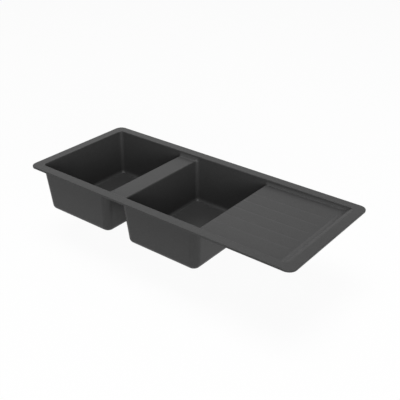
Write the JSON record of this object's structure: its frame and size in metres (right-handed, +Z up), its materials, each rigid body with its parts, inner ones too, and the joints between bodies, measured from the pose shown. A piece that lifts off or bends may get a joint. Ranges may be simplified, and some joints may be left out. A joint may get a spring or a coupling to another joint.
{
  "type": "double bowl kitchen sink",
  "caption": "Inset composite kitchen sink with side by side bowls, a grooved drainer, basket strainer wastes, overflows and swing clips.",
  "frame": {"origin": "centre of the rim's underside, on the plane of the worktop's top", "axes": "+X along the sink towards the drainer's end, +Y to the back edge, +Z up out of the worktop"},
  "size_m": [1.16, 0.5, 0.2647],
  "materials": {
    "composite": "matte moulded quartz composite",
    "foam": "closed-cell foam",
    "zinc_steel": "zinc plated",
    "clip_steel": "pressed, zinc plated",
    "brass": "turned",
    "stainless": "brushed stainless",
    "rubber": "matte rubber",
    "white_plastic": "moulded polypropylene"
  },
  "bodies": {
    "sink": {"sink_body": "composite", "rim_seal": "foam", "clip_screws": "zinc_steel", "clip_washers": "zinc_steel", "clip_inserts": "brass", "left_strainer_cup": "stainless", "left_flange_gasket": "rubber", "left_waste_gasket": "rubber", "left_waste_body": "white_plastic", "left_clamp_screw": "stainless", "left_overflow_cover": "stainless", "left_overflow_screw": "stainless", "left_overflow_gasket": "rubber", "left_overflow_elbow": "white_plastic", "left_overflow_pipe": "white_plastic", "left_overflow_nuts": "white_plastic", "right_strainer_cup": "stainless", "right_flange_gasket": "rubber", "right_waste_gasket": "rubber", "right_waste_body": "white_plastic", "right_clamp_screw": "stainless", "right_overflow_cover": "stainless", "right_overflow_screw": "stainless", "right_overflow_gasket": "rubber", "right_overflow_elbow": "white_plastic", "right_overflow_pipe": "white_plastic", "right_overflow_nuts": "white_plastic"},
    "clip_back_left": {"clip_back_left": "clip_steel"},
    "clip_back_middle": {"clip_back_middle": "clip_steel"},
    "clip_back_right": {"clip_back_right": "clip_steel"},
    "clip_left_front": {"clip_left_front": "clip_steel"},
    "clip_left_back": {"clip_left_back": "clip_steel"},
    "clip_right_end": {"clip_right_end": "clip_steel"},
    "clip_front_middle": {"clip_front_middle": "clip_steel"},
    "clip_front_right": {"clip_front_right": "clip_steel"},
    "left_strainer_basket": {"left_basket": "stainless", "left_basket_plug": "rubber", "left_basket_knob": "stainless"},
    "right_strainer_basket": {"right_basket": "stainless", "right_basket_plug": "rubber", "right_basket_knob": "stainless"}
  },
  "joints": [
    {"name": "clip_back_left_swing", "type": "hinge", "parent": "sink", "child": "clip_back_left", "pos_m": [-0.3775, 0.229, -0.032], "axis": [0, 0, 1], "range_deg": [0, 90]},
    {"name": "clip_back_middle_swing", "type": "hinge", "parent": "sink", "child": "clip_back_middle", "pos_m": [0.03, 0.229, -0.032], "axis": [0, 0, 1], "range_deg": [0, 90]},
    {"name": "clip_back_right_swing", "type": "hinge", "parent": "sink", "child": "clip_back_right", "pos_m": [0.36854, 0.229, -0.032], "axis": [0, 0, 1], "range_deg": [0, 90]},
    {"name": "clip_left_front_swing", "type": "hinge", "parent": "sink", "child": "clip_left_front", "pos_m": [-0.559, -0.12, -0.032], "axis": [0, 0, 1], "range_deg": [0, 90]},
    {"name": "clip_left_back_swing", "type": "hinge", "parent": "sink", "child": "clip_left_back", "pos_m": [-0.559, 0.12, -0.032], "axis": [0, 0, 1], "range_deg": [0, 90]},
    {"name": "clip_right_end_swing", "type": "hinge", "parent": "sink", "child": "clip_right_end", "pos_m": [0.522, 0, -0.032], "axis": [0, 0, 1], "range_deg": [0, 90]},
    {"name": "clip_front_middle_swing", "type": "hinge", "parent": "sink", "child": "clip_front_middle", "pos_m": [0.2775, -0.192, -0.032], "axis": [0, 0, 1], "range_deg": [0, 90]},
    {"name": "clip_front_right_swing", "type": "hinge", "parent": "sink", "child": "clip_front_right", "pos_m": [0.473, -0.192, -0.032], "axis": [0, 0, 1], "range_deg": [0, 90]},
    {"name": "left_basket_lift", "type": "slide", "parent": "sink", "child": "left_strainer_basket", "axis": [0, 0, 1], "range_m": [0, 0.25]},
    {"name": "right_basket_lift", "type": "slide", "parent": "sink", "child": "right_strainer_basket", "axis": [0, 0, 1], "range_m": [0, 0.25]}
  ]
}
